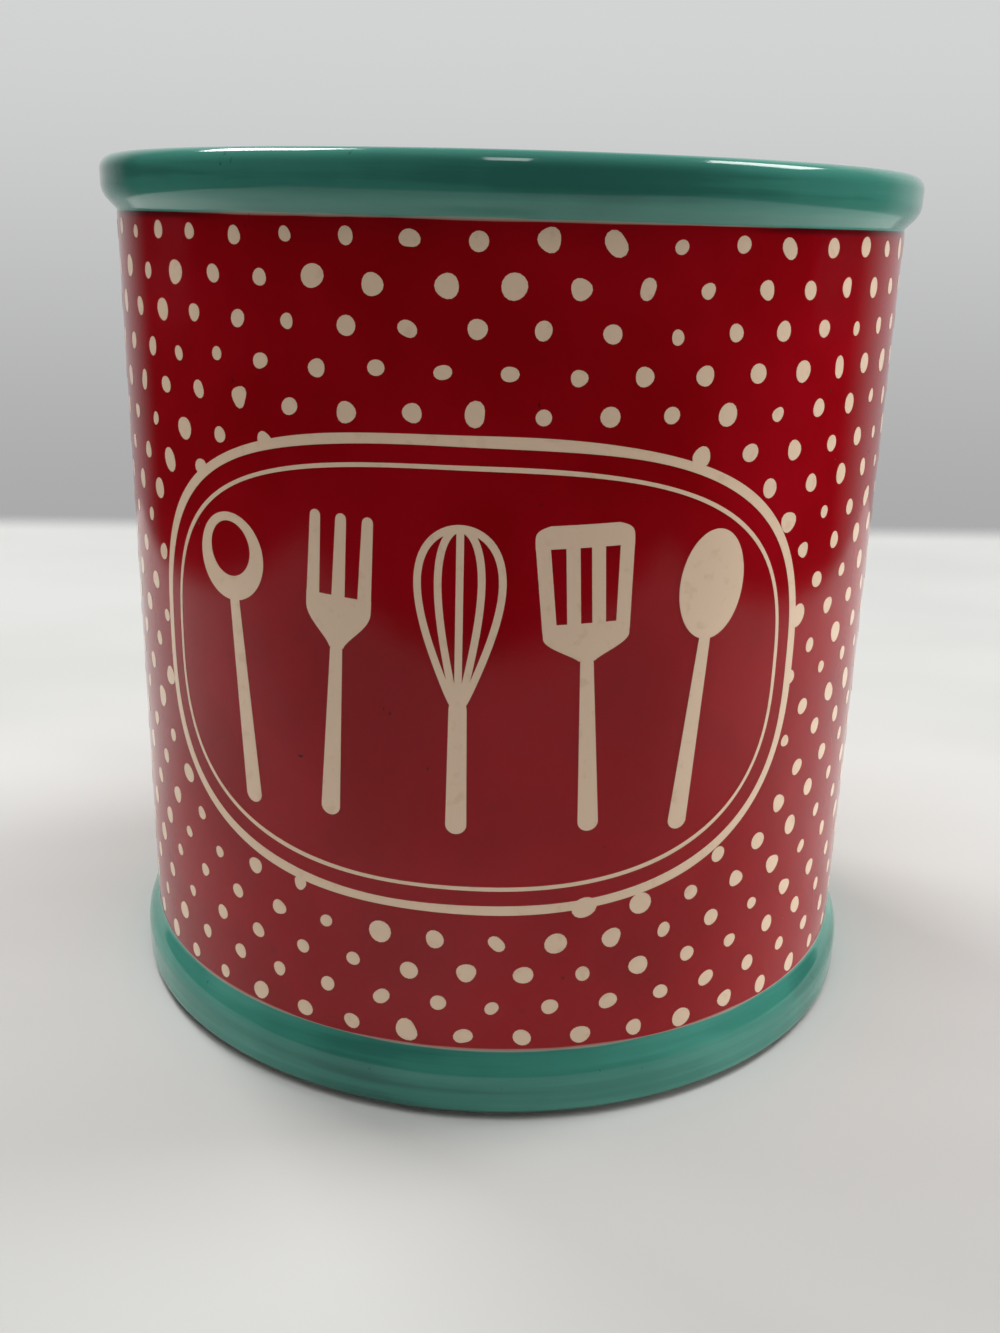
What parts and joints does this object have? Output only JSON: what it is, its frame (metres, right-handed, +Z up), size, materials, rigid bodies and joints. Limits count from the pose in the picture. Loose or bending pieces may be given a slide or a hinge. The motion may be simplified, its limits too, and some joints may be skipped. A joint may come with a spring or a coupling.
{
  "type": "utensil crock",
  "caption": "Straight-sided glazed stoneware crock with a rolled rim and a flared foot, for standing kitchen utensils upright on a worktop.",
  "frame": {"origin": "centre of the bare foot ring, on the surface that the crock stands on", "axes": "+Z up along the crock's axis of turning; -Y towards the decorated front; +X to the right of someone facing the front"},
  "size_m": [0.1595, 0.1594, 0.1666],
  "materials": {
    "bare_clay": "matte, unglazed",
    "red_glaze": "gloss",
    "teal_glaze": "gloss",
    "cream_glaze": "gloss"
  },
  "bodies": {
    "root": {"stoneware_body": "bare_clay", "rim_glaze": "teal_glaze", "wall_glaze": "red_glaze", "foot_glaze": "teal_glaze", "liner_glaze": "cream_glaze", "base_glaze": "cream_glaze"}
  },
  "joints": []
}
